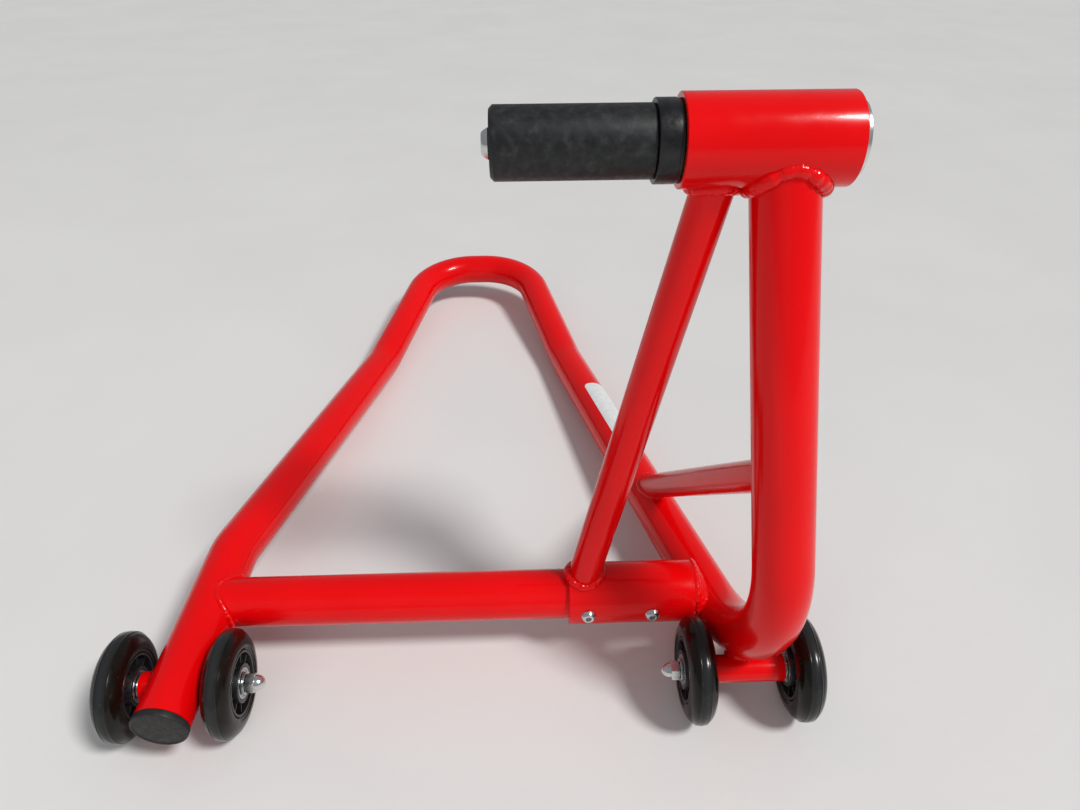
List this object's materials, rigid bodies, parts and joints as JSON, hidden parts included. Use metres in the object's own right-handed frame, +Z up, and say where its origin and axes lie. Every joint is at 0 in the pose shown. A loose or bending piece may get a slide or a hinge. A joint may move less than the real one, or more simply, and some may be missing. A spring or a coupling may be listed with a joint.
{
  "type": "single-sided motorcycle paddock stand",
  "caption": "Bent steel tube paddock stand on small wheels; its turning side pin enters a hollow wheel axle and lifts the rear of a motorcycle.",
  "frame": {"origin": "middle of the underside of the whole stand's box, on the floor", "axes": "+X along the wheel axles and the pin, from the pin's free end towards its head; +Y from the wheels to the handle; +Z up"},
  "size_m": [0.5196, 0.7452, 0.427],
  "materials": {
    "red_paint": "gloss",
    "wheel_urethane": "gloss, smoky",
    "hub_plastic": "satin",
    "pin_sleeve_plastic": "satin, scuffed",
    "pin_collar_plastic": "satin gloss",
    "cap_plastic": "satin",
    "zinc_plate": "bright zinc",
    "bearing_steel": "ground",
    "bush_bronze": "oiled",
    "label": "film label"
  },
  "bodies": {
    "frame": {"main_tube": "red_paint", "left_axle_tube": "red_paint", "right_axle_tube": "red_paint", "crossbar_tube": "red_paint", "crossbar_sleeve": "red_paint", "sleeve_screw_1": "zinc_plate", "sleeve_nut_1": "zinc_plate", "sleeve_screw_2": "zinc_plate", "sleeve_nut_2": "zinc_plate", "brace_tube": "red_paint", "support_strut": "red_paint", "head_tube": "red_paint", "left_head_bush": "bush_bronze", "right_head_bush": "bush_bronze", "left_outer_spacer": "bearing_steel", "left_outer_washer_left": "zinc_plate", "left_outer_washer_right": "zinc_plate", "left_inner_spacer": "bearing_steel", "left_inner_washer_left": "zinc_plate", "left_inner_washer_right": "zinc_plate", "left_axle_bolt": "zinc_plate", "left_acorn_nut": "zinc_plate", "right_inner_spacer": "bearing_steel", "right_inner_washer_left": "zinc_plate", "right_inner_washer_right": "zinc_plate", "right_outer_spacer": "bearing_steel", "right_outer_washer_left": "zinc_plate", "right_outer_washer_right": "zinc_plate", "right_axle_bolt": "zinc_plate", "right_acorn_nut": "zinc_plate", "tube_end_cap": "cap_plastic", "blank_label": "label"},
    "left_outer_wheel": {"left_outer_tyre": "wheel_urethane", "left_outer_hub": "hub_plastic", "left_outer_bearing_left": "bearing_steel", "left_outer_bearing_right": "bearing_steel"},
    "left_inner_wheel": {"left_inner_tyre": "wheel_urethane", "left_inner_hub": "hub_plastic", "left_inner_bearing_left": "bearing_steel", "left_inner_bearing_right": "bearing_steel"},
    "right_inner_wheel": {"right_inner_tyre": "wheel_urethane", "right_inner_hub": "hub_plastic", "right_inner_bearing_left": "bearing_steel", "right_inner_bearing_right": "bearing_steel"},
    "right_outer_wheel": {"right_outer_tyre": "wheel_urethane", "right_outer_hub": "hub_plastic", "right_outer_bearing_left": "bearing_steel", "right_outer_bearing_right": "bearing_steel"},
    "pin": {"pin_shaft": "bearing_steel", "pin_sleeve": "pin_sleeve_plastic", "pin_collar": "pin_collar_plastic", "pin_tip_screw": "zinc_plate", "pin_end_washer": "zinc_plate", "pin_end_screw": "zinc_plate"}
  },
  "joints": [
    {"name": "left_outer_wheel_spin", "type": "hinge", "parent": "frame", "child": "left_outer_wheel", "pos_m": [-0.24225, -0.32928, 0.039], "axis": [1, 0, 0], "continuous": true},
    {"name": "left_inner_wheel_spin", "type": "hinge", "parent": "frame", "child": "left_inner_wheel", "pos_m": [-0.16875, -0.32928, 0.039], "axis": [1, 0, 0], "continuous": true},
    {"name": "right_inner_wheel_spin", "type": "hinge", "parent": "frame", "child": "right_inner_wheel", "pos_m": [0.16675, -0.32928, 0.039], "axis": [1, 0, 0], "continuous": true},
    {"name": "right_outer_wheel_spin", "type": "hinge", "parent": "frame", "child": "right_outer_wheel", "pos_m": [0.24225, -0.32928, 0.039], "axis": [1, 0, 0], "continuous": true},
    {"name": "pin_turn", "type": "hinge", "parent": "frame", "child": "pin", "pos_m": [0.1735, -0.27528, 0.4027], "axis": [1, 0, 0], "continuous": true}
  ]
}
